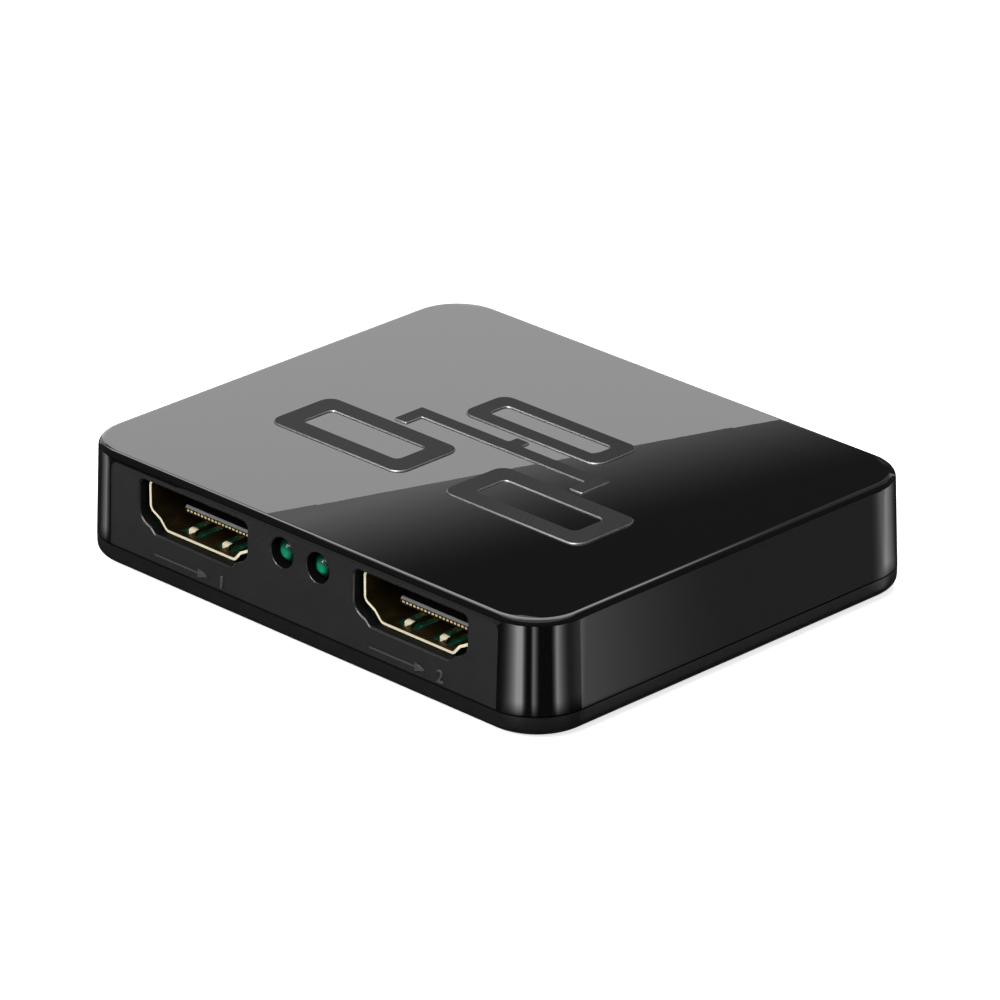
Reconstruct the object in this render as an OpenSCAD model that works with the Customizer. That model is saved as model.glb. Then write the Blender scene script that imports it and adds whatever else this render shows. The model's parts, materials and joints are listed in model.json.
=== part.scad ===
// Two-way video splitter box: one input and two outputs in a thin moulded case.
// X runs along the output face, -Y is the output face, +Z is up.
// The origin is the middle of the underside.

/* [Case] */
// Width along the output face
case_w = 65; // [58:0.5:90]
// Depth from the output face to the input face
case_d = 53.8; // [46:0.2:80]
// Room between the sockets and the roof
roof_room = 0.54; // [0.4:0.01:2]
// Radius of the four upright corners, at the seam
corner_r = 5.85; // [4.5:0.05:7]
// Rounding of the top edge
edge_r = 0.7; // [0.3:0.05:0.9]
// Lean of the cover's sides, in degrees
draft = 2.1; // [0:0.1:3]
// Thickness of the side walls
wall = 1.4; // [1.2:0.1:1.8]
// Thickness of the roof
roof_t = 1.1; // [0.8:0.05:1.2]
// Thickness of the floor
floor_t = 1.2; // [1:0.05:1.5]
// Height of the seam between the covers
seam_z = 2.35; // [2:0.05:2.8]
// Open line at the seam
seam_gap = 0.16; // [0.05:0.01:0.3]
// How far the lower edge is rounded in
round_in = 1.8; // [0.6:0.1:3]
// How high the lower edge is rounded
round_h = 1.2; // [0.6:0.1:1.6]
// Thickness of the base's inner lip
lip_t = 0.8; // [0.6:0.05:1]
// Clearance between the lip and the cover
lip_gap = 0.15; // [0.1:0.01:0.25]

/* [End panels] */
// Gloss left at each side of the matt panel
panel_side = 5.5; // [5.4:0.1:7.5]
// Depth of the panel below the gloss
panel_sink = 0.12; // [0.05:0.01:0.2]
// Height of gloss left above the panel
panel_margin = 0.85; // [0.8:0.05:1]
// Corner radius of the panel
panel_r = 0.9; // [0.4:0.1:1.5]
// Rounding of the socket openings' outer edges
mouth_r = 0.2; // [0.1:0.05:0.3]

/* [Label recess] */
// Width of the bare recess in the underside
label_w = 36; // [20:1:44]
// Depth of the bare recess, front to rear
label_d = 22; // [12:1:28]
// How far the recess is sunk
label_sink = 0.3; // [0.1:0.05:0.4]

/* [Board] */
// Height of the board's underside
board_z = 3.85; // [3.6:0.05:4.1]
// Thickness of the board
board_t = 1.6; // [1.4:0.1:1.7]
// Clearance between the board and the walls
board_gap = 0.5; // [0.4:0.05:0.8]
// Corner radius of the board
board_r = 2; // [1:0.1:3]

/* [Video sockets] */
// Case side to the nearest output socket
port_side = 10.07; // [9:0.01:12]
// Case side to the middle of the input socket
input_side = 21.5; // [18.5:0.5:24.5]
// Inside width of a socket
socket_w = 14; // [13.9:0.05:14.2]
// Inside height of a socket
socket_h = 4.55; // [4.5:0.01:4.6]
// Flat width of a socket's floor
socket_floor = 9.6; // [9:0.1:10]
// Half width of a socket at its shoulder
shoulder_x = 5.65; // [5.5:0.05:5.9]
// Height of the shoulder above the socket's floor
shoulder_z = 0.95; // [0.7:0.05:1]
// Height where a socket's upright side starts
side_z = 1.65; // [1.4:0.05:1.8]
// Sheet thickness of the socket shells
sheet = 0.28; // [0.25:0.01:0.3]
// Length of a socket shell
socket_l = 11.2; // [10.5:0.1:12]
// Shell rim behind the panel's face
set_back = 1; // [0.8:0.05:1.2]
// Clearance between shell and opening, sideways
port_clear_x = 0.42; // [0.2:0.02:0.5]
// Clearance between shell and opening, up and down
port_clear_z = 0.1; // [0.06:0.02:0.25]
// Tongue beside the outer contacts
tongue_rim = 0.26; // [0.2:0.02:0.4]
// Thickness of the tongue
tongue_t = 0.9; // [0.8:0.05:1]
// Slanted edges at the tip of the tongue
tongue_nose = 0.22; // [0.1:0.02:0.3]
// Underside of the tongue above the socket's floor
tongue_z = 0.9; // [0.7:0.05:1.1]
// Tip of the tongue behind the rim
tongue_back = 2.55; // [2.3:0.05:2.7]
// Thickness of the insulating block behind the tongue
block_l = 4; // [3:0.1:4.5]
// Number of contacts in a socket
contact_n = 19; // [19]
// Spacing of the contacts
contact_pitch = 0.5; // [0.48:0.01:0.51]
// Width of a contact
contact_w = 0.28; // [0.24:0.01:0.32]
// Thickness of a contact
contact_t = 0.2; // [0.16:0.01:0.22]
// Clearance of a contact in its slot
contact_clear = 0.02; // [0.01:0.01:0.03]
// Width of the windows in a socket's floor
window_w = 2.6; // [2.2:0.1:2.8]
// Length of the windows
window_l = 3.3; // [3.2:0.1:3.6]
// Rim to the first edge of a window
window_y = 0.8; // [0.5:0.05:1]
// Distance between the two windows
window_pitch = 4.8; // [4.6:0.1:5.4]
// Width of the spring finger in each window
finger_w = 0.9; // [0.7:0.05:1.1]
// Length of the spring finger
finger_l = 3; // [2.6:0.1:3.1]
// Height of the contact bump on the finger
bump_h = 0.4; // [0.2:0.05:0.5]
// Rim to the middle of the front board legs
leg_front = 2.9; // [2.5:0.1:3.5]
// Rim to the middle of the rear board legs
leg_rear = 8.7; // [7.5:0.1:9.5]
// Width of a board leg
leg_w = 1.6; // [1.2:0.1:2]
// How far the legs pass below the board
leg_out = 0.7; // [0.4:0.05:0.9]
// Clearance of the legs in the board
leg_clear = 0.15; // [0.1:0.05:0.25]

/* [Power socket] */
// Case side to the middle of the power socket
power_side = 18.5; // [16.5:0.5:22.5]
// Outside width of the power socket
power_w = 7.5; // [7:0.1:8]
// Outside height of the power socket
power_h = 2.6; // [2.4:0.1:2.8]
// Sloped lower corner of the power socket
power_slope = 0.9; // [0.6:0.05:1]
// Length of the power socket
power_l = 5.4; // [5:0.1:6]
// Rim of the power socket behind the panel's face
power_back = 0.3; // [0.1:0.05:0.5]
// Middle of the power socket's board legs behind its rim
power_leg_y = 3; // [2:0.1:4]
// Thickness of the insulating block in the power socket
power_block_l = 1.6; // [1.2:0.1:2]
// Tip of the power socket's tongue behind its rim
power_tongue_back = 0.7; // [0.5:0.05:1]
// Number of contacts in the power socket
power_contact_n = 5; // [5]
// Spacing of the power socket's contacts
power_contact_pitch = 0.65; // [0.6:0.01:0.7]
// Clearance between the power socket and its opening
power_clear = 0.35; // [0.2:0.05:0.5]
// Width of the power socket's tongue
power_tongue_w = 3.7; // [3.4:0.1:4]
// Thickness of the power socket's tongue
power_tongue_t = 0.6; // [0.5:0.05:0.7]

/* [Indicators] */
// Diameter of an indicator lamp
led_d = 3; // [2.8:0.05:3.1]
// Distance between the two lamps
led_pitch = 5; // [4.6:0.1:5.6]
// Room between a lamp's flange and the roof
led_room = 0.1; // [0.05:0.01:0.4]
// Clearance of a lamp in its hole
led_clear = 0.06; // [0.05:0.01:0.2]
// Tip of a lamp behind the panel's face
led_sink = 0.3; // [0.2:0.05:0.8]
// Rounding of the lamp holes' outer edges
led_mouth_r = 0.1; // [0.05:0.05:0.3]
// Length of a lamp's body
led_l = 5.2; // [5:0.1:5.6]
// Rear of a lamp to the bend of its leads
led_bend = 1.2; // [0.8:0.1:2]
// Diameter of a lamp's flange
led_flange_d = 3.8; // [3.5:0.1:4.2]
// Thickness of a lamp's flange
led_flange_t = 1; // [0.8:0.1:1.2]
// Thickness of a lamp's leads
lead_t = 0.45; // [0.4:0.01:0.5]
// Spacing of a lamp's leads
lead_pitch = 1.27; // [1.2:0.01:1.4]

/* [Case screws] */
// Distance of the screws from the cavity's walls
screw_in = 3.7; // [3.6:0.1:4.2]
// Diameter of the screw shank
screw_d = 1.9; // [1.7:0.05:2]
// Clearance of the shank in the cover's bosses
screw_clear = 0.05; // [0.02:0.01:0.1]
// Clearance of the shank in the base and the board
pass_clear = 0.2; // [0.15:0.05:0.3]
// Diameter of the screw head
head_d = 3.7; // [3.4:0.1:3.9]
// Height of the screw head
head_h = 1.2; // [1:0.1:1.3]
// Clearance round the head
head_clear = 0.2; // [0.1:0.05:0.3]
// How far the head lies below the underside
head_sink = 0.4; // [0.2:0.05:0.6]
// Length of the shank below the head
screw_l = 7.6; // [6:0.1:8]
// Length of the cross recess
cross_l = 2.3; // [2:0.1:2.6]
// Width of the cross recess
cross_w = 0.6; // [0.4:0.05:0.8]
// Depth of the cross recess
cross_h = 0.65; // [0.4:0.05:0.8]
// Diameter of the base's posts
post_d = 6; // [5.6:0.1:6.4]
// Diameter of the cover's bosses
boss_d = 4.6; // [4.2:0.1:5]

/* [Chips] */
// Side of the splitter chip
chip_w = 10; // [8:0.5:12]
// Height of the splitter chip's body
chip_h = 1.4; // [1:0.1:1.6]
// Leads on each side of the splitter chip
chip_leads = 16; // [12:1:18]
// Length of the memory chip
memory_l = 4.9; // [4.5:0.1:5.2]
// Width of the memory chip
memory_w = 3.9; // [3.6:0.1:4.2]
// Height of the memory chip's body
memory_h = 1.45; // [1.2:0.05:1.7]
// Width of a regulator
regulator_w = 6.5; // [6:0.1:7]
// Depth of a regulator
regulator_d = 3.5; // [3.2:0.1:3.8]
// Height of a regulator
regulator_h = 1.6; // [1.4:0.1:1.8]
// Length of the crystal's can
crystal_l = 10.6; // [9:0.1:11.4]
// Width of the crystal's can
crystal_w = 4; // [3.6:0.1:4.6]
// Height of the crystal's can
crystal_h = 3.2; // [2.5:0.1:3.8]
// Diameter of the electrolytic capacitors
can_d = 4; // [3:0.1:5]
// Height of the electrolytic capacitors
can_h = 4.6; // [3.6:0.1:5]
// Thickness of the capacitors' bases
can_base_t = 0.6; // [0.4:0.05:0.8]
// Length of the small chip parts
chip_part_l = 1.6; // [1.4:0.1:1.8]
// Width of the small chip parts
chip_part_w = 0.8; // [0.7:0.05:0.9]
// Height of the small chip parts
chip_part_h = 0.6; // [0.4:0.05:0.8]
// Metal end of a small chip part
terminal_l = 0.3; // [0.2:0.05:0.4]
// Length of the surge protection arrays
array_l = 2.5; // [2:0.1:2.8]
// Width of the surge protection arrays
array_w = 1; // [0.8:0.1:1.2]
// Height of the surge protection arrays
array_h = 0.5; // [0.4:0.05:0.7]
// Length of the power fuse
fuse_l = 4.5; // [4:0.1:5]
// Width of the power fuse
fuse_w = 3.2; // [2.8:0.1:3.5]
// Height of the power fuse
fuse_h = 0.8; // [0.6:0.1:1]

/* [Hidden] */
$fn = 48;

// Reach of a cut past the face it opens, and overlap of joined shapes
past = 1;
bite = 0.2;
// How far the blind end of a mouth cutter lies inside its opening
inside = 0.05;
// Steps in a rounded edge and in a rounded corner of an outline
edge_steps = 8;
round_steps = 5;
mouth_steps = 4;

lean = tan(draft);
panel_w = case_w - 2 * panel_side;
board_w = case_w - 2 * (wall + board_gap);
board_d = case_d - 2 * (wall + board_gap);
shell_outer_w = socket_w + 2 * sheet;
shell_outer_h = socket_h + 2 * sheet;
port_pitch = case_w - shell_outer_w - 2 * port_side;
input_x = case_w / 2 - input_side;
power_x = power_side - case_w / 2;
board_top = board_z + board_t;
roof_z = board_top + shell_outer_h + roof_room;
case_h = roof_z + roof_t;
cover_low = seam_z + seam_gap / 2;
base_top = seam_z - seam_gap / 2;
// The lip stops just short of the board
lip_top = board_z - lip_gap;
panel_top = case_h - panel_margin;
mouth_y = face_y(board_top + shell_outer_h / 2) - set_back;
led_axis_z = roof_z - led_room - led_flange_d / 2;
led_z = led_axis_z - board_top;
lead_y = led_l + led_bend;
screw_x = case_w / 2 - wall - screw_in;
screw_y = case_d / 2 - wall - screw_in;
seat_z = head_sink + head_h;
// Room above the screw's end in its boss
pilot_room = 0.4;
pilot_top = seat_z + screw_l + pilot_room;
tongue_w = (contact_n - 1) * contact_pitch + contact_w + 2 * tongue_rim;
tongue_root = socket_l - block_l;
tongue_low = sheet + tongue_z;
tongue_mid = tongue_low + tongue_t / 2;
power_mouth_y = face_y(board_top + power_h / 2) - power_back;
power_root = power_l - power_block_l;
power_tongue_low = (power_h - power_tongue_t) / 2;

// Contact shapes: straight tip, climb to the tongue's face, turns of the two rows of tails, foot
contact_nose = 0.4;
contact_climb = 0.6;
tail_near = 0.5;
tail_far = 1.3;
tail_foot = 0.7;
// Start of the power contacts behind the tongue's tip
power_contact_in = 0.2;

// Rounding radii of a socket outline: floor, shoulder, side and top corners
floor_r = 0.5;
shoulder_r = 0.4;
side_r = 0.6;
top_r = 0.5;
// An opening's floor and shoulder beyond the shell's, and its shoulder and side corners above its floor
opening_floor_out = 0.65;
opening_shoulder_out = 0.37;
opening_shoulder_z = 0.55;
opening_side_z = 1.22;
// Rounding radii of an opening, in the same order
opening_floor_r = 0.6;
opening_shoulder_r = 0.5;
opening_side_r = 1.6;
opening_top_r = 0.7;

gloss_black = [0.03, 0.03, 0.035];
black = [0.05, 0.05, 0.05];
board_green = [0.02, 0.3, 0.16];
gold = [0.85, 0.7, 0.35];
steel = [0.7, 0.7, 0.72];
lamp_green = [0.1, 0.75, 0.45];
fuse_green = [0.1, 0.35, 0.2];
ceramic = [0.62, 0.5, 0.38];

// Distance of an end panel's face from the middle, at a height
function face_y(z) = case_d / 2 - panel_sink - lean * (z - seam_z);

function unit(v) = v / norm(v);

function backwards(list) = [for (i = [len(list) - 1:-1:0]) list[i]];

// Outline with each corner replaced by an arc of its own radius
function rounded(corners, radii) = [
    for (i = [0:len(corners) - 1])
        let (
            count = len(corners),
            corner = corners[i],
            to_last = unit(corners[(i + count - 1) % count] - corner),
            to_next = unit(corners[(i + 1) % count] - corner),
            half = acos(to_last * to_next) / 2,
            centre = corner + unit(to_last + to_next) * radii[i] / sin(half),
            start = corner + to_last * radii[i] / tan(half) - centre,
            first = atan2(start[1], start[0]),
            turn = (180 - 2 * half) * (cross(to_last, to_next) < 0 ? 1 : -1)
        )
        for (k = [0:round_steps])
            let (a = first + turn * k / round_steps)
            centre + radii[i] * [cos(a), sin(a)]
];

// One edge of a bent strip, at a distance from its middle line
function strip_edge(path, off) = [
    for (i = [0:len(path) - 1])
        let (
            before = i > 0 ? unit(path[i] - path[i - 1]) : unit(path[1] - path[0]),
            after = i < len(path) - 1 ? unit(path[i + 1] - path[i]) : before,
            across = unit([-before[1] - after[1], before[0] + after[0]])
        )
        path[i] + across * off / (across * [-before[1], before[0]])
];

// Outline of a strip of even thickness bent along a path
function strip(path, thickness) =
    concat(strip_edge(path, thickness / 2), backwards(strip_edge(path, -thickness / 2)));

// Corners of a socket outline, grown evenly by "grow"; the floor of the plain outline is at height 0
function socket_corners(w, h, flat, sx, sz, side, grow) =
    let (
        half = w / 2 + grow,
        low_turn = atan2(sz, sx - flat / 2),
        high_turn = atan2(side - sz, w / 2 - sx),
        low_x = flat / 2 + grow * tan(low_turn / 2),
        mean_turn = (low_turn + high_turn) / 2,
        mid = [sx, sz] + grow / cos(low_turn - mean_turn) * [sin(mean_turn), -cos(mean_turn)],
        side_low = side - grow * tan((90 - high_turn) / 2)
    )
    [[half, h + grow], [-half, h + grow], [-half, side_low], [-mid[0], mid[1]],
        [-low_x, -grow], [low_x, -grow], mid, [half, side_low]];

// Radii of a socket outline's corners, where the shoulder alone turns inwards
function socket_radii(low, mid, side, top, grow) =
    [top + grow, top + grow, side + grow, mid - grow, low + grow, low + grow, mid - grow, side + grow];

// Inside outline of a shell, or the outline of its outside when grown by the sheet
function shell_outline(grow) =
    rounded(socket_corners(socket_w, socket_h, socket_floor, shoulder_x, shoulder_z, side_z, grow),
        socket_radii(floor_r, shoulder_r, side_r, top_r, grow));

// Outline of an opening in an end panel
function opening_outline(grow) =
    let (
        w = shell_outer_w + 2 * port_clear_x,
        h = shell_outer_h + 2 * port_clear_z,
        flat = socket_floor + 2 * opening_floor_out,
        shoulder = shoulder_x + opening_shoulder_out
    )
    rounded(socket_corners(w, h, flat, shoulder, opening_shoulder_z, opening_side_z, grow),
        socket_radii(opening_floor_r, opening_shoulder_r, opening_side_r, opening_top_r, grow));

// Outline of the power socket, with its two sloped lower corners
function power_outline(grow) =
    let (
        half = power_w / 2 + grow,
        turn = grow * tan(22.5)
    )
    [[half - power_slope - grow + turn, -grow], [half, power_slope - turn], [half, power_h + grow],
        [-half, power_h + grow], [-half, power_slope - turn], [-half + power_slope + grow - turn, -grow]];

// Block on a rounded rectangle whose sides follow "rise", a list of [inset, height] pairs
module swept_block(w, d, r, rise) {
    last = len(rise) - 1;
    side = concat([[0, rise[0][1]]], [for (p = rise) [r - p[0], p[1]]], [[0, rise[last][1]]]);
    front = [for (p = rise) [p[0] - d / 2, p[1]]];
    rear = [for (p = backwards(rise)) [d / 2 - p[0], p[1]]];
    for (k = [0:3])
        let (sx = (k == 0 || k == 3) ? 1 : -1, sy = k < 2 ? 1 : -1)
        translate([sx * (w / 2 - r), sy * (d / 2 - r), 0])
            rotate([0, 0, 90 * k])
                rotate_extrude(angle = 90) polygon(side);
    for (k = [0, 1])
        rotate([0, 0, 180 * k])
            translate([w / 2 - r, 0, 0])
                rotate([90, 0, 0])
                    linear_extrude(height = d - 2 * r, center = true) polygon(side);
    rotate([90, 0, 90])
        linear_extrude(height = w - 2 * r, center = true) polygon(concat(front, rear));
}

module rounded_block(w, d, r, low, high) {
    swept_block(w, d, r, [[0, low], [0, high]]);
}

// Shape in the X-Z plane, drawn out along Y from y0 to y1
module along_y(y0, y1) {
    translate([0, y1, 0])
        rotate([90, 0, 0])
            linear_extrude(height = y1 - y0) children();
}

// Shape in the Y-Z plane, drawn out along X about x
module across_x(x, width) {
    translate([x, 0, 0])
        rotate([90, 0, 90])
            linear_extrude(height = width, center = true) children();
}

// Turns the front end's frame to the rear end
module rear_end() {
    rotate([0, 0, 180]) children();
}

module at_screws() {
    for (sx = [-1, 1], sy = [-1, 1])
        translate([sx * screw_x, sy * screw_y, 0]) children();
}

// Rise of the cover's outside, with its leaning side and rounded top edge
function cover_rise() =
    let (
        arc_z = case_h - edge_r,
        arc_in = lean * (arc_z + edge_r * sin(draft) - seam_z) + edge_r * cos(draft)
    )
    concat([[lean * (cover_low - seam_z), cover_low]],
        [for (k = [0:edge_steps])
            let (a = draft + (90 - draft) * k / edge_steps)
            [arc_in - edge_r * cos(a), arc_z + edge_r * sin(a)]]);

// Rise of the base's outside, with its rounded lower edge
function base_rise() =
    concat([for (k = [0:edge_steps])
            let (a = 90 * k / edge_steps)
            [round_in * (1 - sin(a)), round_h * (1 - cos(a))]],
        [[0, base_top]]);

// Ring of points of an opening's edge, at depth y behind the leaning face
function ring(outline, y) = [for (p = outline) [p[0], y + lean * p[1], p[1]]];

// Cutter that rounds the outer edge of an opening outline list, from the widest ring inwards
module mouth_cutter(rings) {
    count = len(rings[0]);
    last = len(rings) - 1;
    points = [for (r = rings, p = r) p];
    front = [[for (i = [0:count - 1]) i]];
    rear = [[for (i = [count - 1:-1:0]) last * count + i]];
    sides = [for (k = [0:last - 1], i = [0:count - 1])
        let (j = (i + 1) % count)
        [k * count + j, k * count + i, (k + 1) * count + i, (k + 1) * count + j]];
    polyhedron(points, concat(front, rear, sides));
}

// Growth and depth of a rounded mouth at one step: widest at the face, plain one radius behind it
function mouth_step(k) =
    let (a = 90 * k / mouth_steps)
    [mouth_r * (1 - sin(a)), mouth_r * (1 - cos(a))];

// Opening for a video socket through a front panel, at x
module socket_opening(x) {
    base = board_top - port_clear_z;
    translate([x, -face_y(base), base]) {
        along_y(-past, wall + past) polygon(opening_outline(0));
        mouth_cutter(concat([ring(opening_outline(mouth_r), -past)],
            [for (k = [0:mouth_steps])
                let (s = mouth_step(k))
                ring(opening_outline(s[0]), s[1])],
            [ring(opening_outline(-inside), mouth_r + bite)]));
    }
}

module power_opening() {
    translate([-power_x, -face_y(board_top), board_top])
        along_y(-past, wall + past) polygon(power_outline(power_clear));
}

// Round hole for a lamp, with a rounded edge
module led_opening(x) {
    hole_r = led_d / 2 + led_clear;
    profile = concat([[0, -wall - past], [hole_r, -wall - past]],
        [for (k = [0:mouth_steps])
            let (a = 90 * k / mouth_steps)
            [hole_r + led_mouth_r * (1 - cos(a)), -led_mouth_r * (1 - sin(a))]],
        [[hole_r + led_mouth_r, past], [0, past]]);
    translate([x, -face_y(led_axis_z), led_axis_z])
        rotate([90 - draft, 0, 0])
            rotate_extrude() polygon(profile);
}

// Shallow panel cut in the front end, leaning with the wall
module panel_cut() {
    half = panel_w / 2 - panel_r;
    top = panel_top - seam_z - panel_r;
    outline = concat([[-panel_w / 2, -past], [panel_w / 2, -past]],
        [for (k = [0:round_steps])
            let (a = 90 * k / round_steps)
            [half + panel_r * cos(a), top + panel_r * sin(a)]],
        [for (k = [0:round_steps])
            let (a = 90 + 90 * k / round_steps)
            [panel_r * cos(a) - half, top + panel_r * sin(a)]]);
    translate([0, -face_y(seam_z), seam_z])
        rotate([-draft, 0, 0])
            along_y(-past, 0) polygon(outline);
}

module top_cover() {
    inner_rise = [for (z = [cover_low - past, roof_z]) [lean * (z - seam_z), z]];
    color(gloss_black)
    difference() {
        union() {
            difference() {
                swept_block(case_w, case_d, corner_r, cover_rise());
                swept_block(case_w - 2 * wall, case_d - 2 * wall, corner_r - wall, inner_rise);
            }
            at_screws() translate([0, 0, board_top]) cylinder(d = boss_d, h = roof_z - board_top + bite);
        }
        at_screws() translate([0, 0, board_top - past])
            cylinder(d = screw_d + 2 * screw_clear, h = pilot_top - board_top + past);
        panel_cut();
        rear_end() panel_cut();
        for (s = [-1, 1]) socket_opening(s * port_pitch / 2);
        for (s = [-1, 1]) led_opening(s * led_pitch / 2);
        rear_end() socket_opening(-input_x);
        rear_end() power_opening();
    }
}

module base_cover() {
    lip_w = case_w - 2 * (wall + lip_gap);
    lip_d = case_d - 2 * (wall + lip_gap);
    lip_r = corner_r - wall - lip_gap;
    color(black)
    difference() {
        union() {
            difference() {
                union() {
                    swept_block(case_w, case_d, corner_r, base_rise());
                    rounded_block(lip_w, lip_d, lip_r, floor_t, lip_top);
                }
                rounded_block(lip_w - 2 * lip_t, lip_d - 2 * lip_t, lip_r - lip_t, floor_t, lip_top + past);
            }
            at_screws() translate([0, 0, floor_t - bite]) cylinder(d = post_d, h = board_z - floor_t + bite);
        }
        at_screws() {
            translate([0, 0, -past]) cylinder(d = screw_d + 2 * pass_clear, h = board_z + 2 * past);
            translate([0, 0, -past]) cylinder(d = head_d + 2 * head_clear, h = seat_z + past);
        }
        translate([-label_w / 2, -label_d / 2, -past]) cube([label_w, label_d, label_sink + past]);
    }
}

// Pan head screw with a cross recess, driven upwards from the underside
module case_screws() {
    color(steel)
    at_screws() difference() {
        union() {
            translate([0, 0, head_sink]) cylinder(d = head_d, h = head_h);
            translate([0, 0, seat_z - bite]) cylinder(d = screw_d, h = screw_l + bite);
        }
        for (a = [0, 90])
            rotate([0, 0, a])
                translate([-cross_l / 2, -cross_w / 2, head_sink - past])
                    cube([cross_l, cross_w, cross_h + past]);
    }
}

// Frames of the sockets: mouth at y = 0, board's top at z = 0
module at_output(k) {
    translate([(k == 1 ? -1 : 1) * port_pitch / 2, -mouth_y, board_top]) children();
}

module at_input() {
    rear_end() translate([-input_x, -mouth_y, board_top]) children();
}

module at_power() {
    rear_end() translate([-power_x, -power_mouth_y, board_top]) children();
}

// Upright strips at a shell's sides that pass through the board, or their slots when grown
module leg_pair(w, y, top, clear) {
    for (s = [-1, 1])
        translate([s * (w - sheet) / 2, y, 0])
            translate([-sheet / 2 - clear, -leg_w / 2 - clear, -board_t - leg_out])
                cube([sheet + 2 * clear, leg_w + 2 * clear, board_t + leg_out + top]);
}

module shell_legs(clear) {
    for (y = [leg_front, leg_rear]) leg_pair(shell_outer_w, y, side_z + 2 * sheet, clear);
}

module power_legs(clear) {
    leg_pair(power_w, power_leg_y, power_slope + sheet, clear);
}

// Spring finger with its bump, reaching forwards from a window's rear edge
module finger() {
    bump_r = 2 * bump_h;
    tip = window_y + window_l - finger_l;
    translate([-finger_w / 2, tip, 0]) cube([finger_w, finger_l + bite, sheet]);
    intersection() {
        translate([0, tip + bump_r / 2, sheet + bump_h - bump_r])
            rotate([0, 90, 0]) cylinder(r = bump_r, h = finger_w, center = true);
        translate([-finger_w, tip, sheet / 2]) cube([2 * finger_w, 2 * bump_r, 2 * bump_r]);
    }
}

module socket_shell() {
    difference() {
        union() {
            translate([0, 0, sheet]) along_y(0, socket_l) polygon(shell_outline(sheet));
            shell_legs(0);
        }
        translate([0, 0, sheet]) along_y(-past, socket_l + past) polygon(shell_outline(0));
        for (s = [-1, 1])
            translate([s * window_pitch / 2 - window_w / 2, window_y, -past])
                cube([window_w, window_l, past + sheet + bite]);
    }
    for (s = [-1, 1]) translate([s * window_pitch / 2, 0, 0]) finger();
}

// Path of a contact: tip in the tongue's nose, blade along one face, tail down to the board
function contact_path(up) =
    let (
        blade = tongue_mid + (up ? 1 : -1) * (tongue_t - contact_t) / 2,
        climb_y = tongue_back + contact_nose,
        drop_y = socket_l + (up ? tail_far : tail_near)
    )
    [[tongue_back, tongue_mid], [climb_y, tongue_mid], [climb_y + contact_climb, blade],
        [drop_y, blade], [drop_y, contact_t / 2], [drop_y + tail_foot, contact_t / 2]];

function contact_x(i) = (i - (contact_n - 1) / 2) * contact_pitch;

module socket_contacts(clear) {
    for (i = [0:contact_n - 1])
        across_x(contact_x(i), contact_w + 2 * clear)
            polygon(strip(contact_path(i % 2 == 0), contact_t + 2 * clear));
}

module socket_insulator() {
    fit = contact_clear;
    nose = tongue_nose;
    difference() {
        union() {
            translate([0, 0, sheet]) along_y(tongue_root, socket_l) polygon(shell_outline(-2 * fit));
            across_x(0, tongue_w) polygon([[tongue_back + nose, tongue_low], [tongue_root + bite, tongue_low],
                [tongue_root + bite, tongue_low + tongue_t], [tongue_back + nose, tongue_low + tongue_t],
                [tongue_back, tongue_low + tongue_t - nose], [tongue_back, tongue_low + nose]]);
        }
        socket_contacts(fit);
    }
}

module power_shell() {
    color(steel) at_power() {
        difference() {
            along_y(0, power_l) polygon(power_outline(0));
            along_y(-past, power_l + past) polygon(power_outline(-sheet));
        }
        power_legs(0);
    }
}

function power_contact_path() =
    let (
        blade = power_tongue_low + contact_t / 2,
        drop_y = power_l + tail_near
    )
    [[power_tongue_back + power_contact_in, blade], [drop_y, blade],
        [drop_y, contact_t / 2], [drop_y + tail_foot, contact_t / 2]];

module power_contact_set(clear) {
    for (i = [0:power_contact_n - 1])
        across_x((i - (power_contact_n - 1) / 2) * power_contact_pitch, contact_w + 2 * clear)
            polygon(strip(power_contact_path(), contact_t + 2 * clear));
}

module power_contacts() {
    color(gold) at_power() power_contact_set(0);
}

module power_insulator() {
    fit = contact_clear;
    color(black) at_power() difference() {
        union() {
            along_y(power_root, power_l) polygon(power_outline(-sheet - fit));
            translate([-power_tongue_w / 2, power_tongue_back, power_tongue_low])
                cube([power_tongue_w, power_root - power_tongue_back + bite, power_tongue_t]);
        }
        power_contact_set(fit);
    }
}

module output_1_shell() { color(gold) at_output(1) socket_shell(); }
module output_2_shell() { color(gold) at_output(2) socket_shell(); }
module input_shell() { color(gold) at_input() socket_shell(); }
module output_1_insulator() { color(black) at_output(1) socket_insulator(); }
module output_2_insulator() { color(black) at_output(2) socket_insulator(); }
module input_insulator() { color(black) at_input() socket_insulator(); }
module output_1_contacts() { color(gold) at_output(1) socket_contacts(0); }
module output_2_contacts() { color(gold) at_output(2) socket_contacts(0); }
module input_contacts() { color(gold) at_input() socket_contacts(0); }

// Lamp frame: tip at the origin, axis along +Y into the case
module at_led(k) {
    translate([(k == 1 ? -1 : 1) * led_pitch / 2, led_sink - face_y(led_axis_z), led_axis_z]) children();
}

// Domed lamp body with its flange
module led_lens() {
    r = led_d / 2;
    dome = [for (k = [0:edge_steps])
        let (a = 90 * k / edge_steps)
        [r * sin(a), -r * (1 - cos(a))]];
    profile = concat(dome, [[r, -led_l + led_flange_t], [led_flange_d / 2, -led_l + led_flange_t],
        [led_flange_d / 2, -led_l], [0, -led_l]]);
    rotate([90, 0, 0]) rotate_extrude() polygon(profile);
}

// Leads leave the lamp's rear, turn down and pass through the board
module led_leads() {
    path = [[led_l, 0], [lead_y, 0], [lead_y, -led_z - board_t - leg_out]];
    for (s = [-1, 1]) across_x(s * lead_pitch / 2, lead_t) polygon(strip(path, lead_t));
}

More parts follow.
